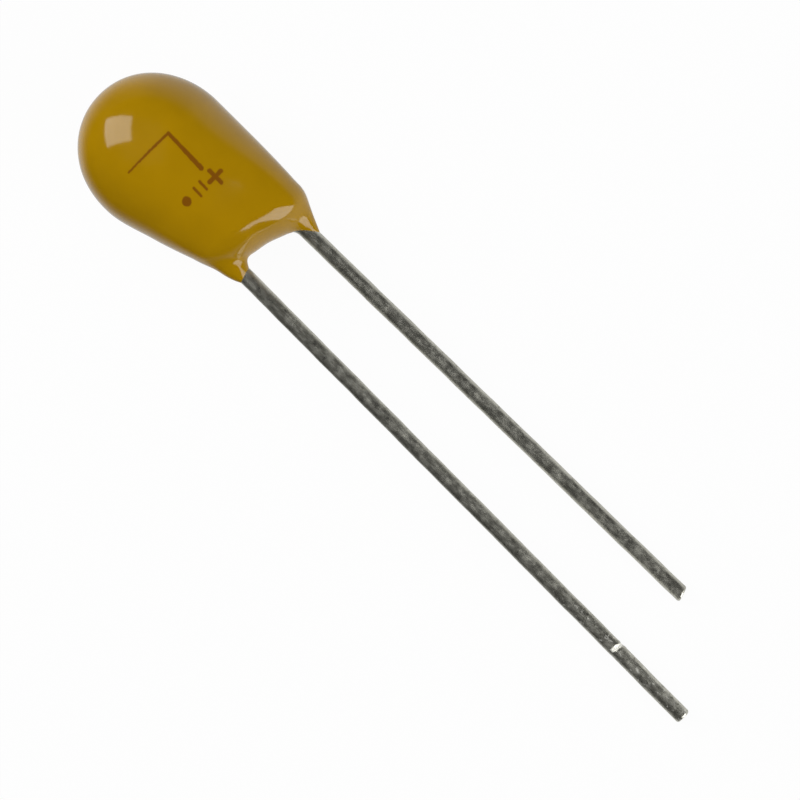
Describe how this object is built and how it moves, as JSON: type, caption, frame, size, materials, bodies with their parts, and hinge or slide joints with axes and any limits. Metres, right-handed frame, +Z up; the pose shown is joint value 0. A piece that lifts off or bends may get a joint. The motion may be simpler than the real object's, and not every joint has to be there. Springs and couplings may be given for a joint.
{
  "type": "tantalum capacitor",
  "caption": "Radial resin-dipped solid capacitor: a rounded ochre body drawn down to a pair of straight tinned wires, lying as it comes to rest.",
  "frame": {"origin": "bottom centre of the object's box, on the surface it lies on", "axes": "+X along the wires towards their tips, +Y from the negative wire to the positive one, +Z up"},
  "size_m": [0.0266, 0.0048, 0.0049],
  "materials": {
    "resin": "glossy dipped epoxy",
    "tinned_wire": "tinned, slightly dull and mottled",
    "sintered_tantalum": "matt, porous",
    "tantalum_wire": "drawn",
    "washer_plastic": "waxy white",
    "manganese_dioxide": "matt black",
    "carbon": "matt dark grey",
    "silver_paint": "satin",
    "solder": "bright solder"
  },
  "bodies": {
    "root": {"epoxy_coat": "resin", "positive_lead": "tinned_wire", "negative_lead": "tinned_wire", "anode_pellet": "sintered_tantalum", "riser_wire": "tantalum_wire", "insulating_washer": "washer_plastic", "manganese_layer": "manganese_dioxide", "graphite_layer": "carbon", "silver_layer": "silver_paint", "cathode_solder": "solder"}
  },
  "joints": []
}
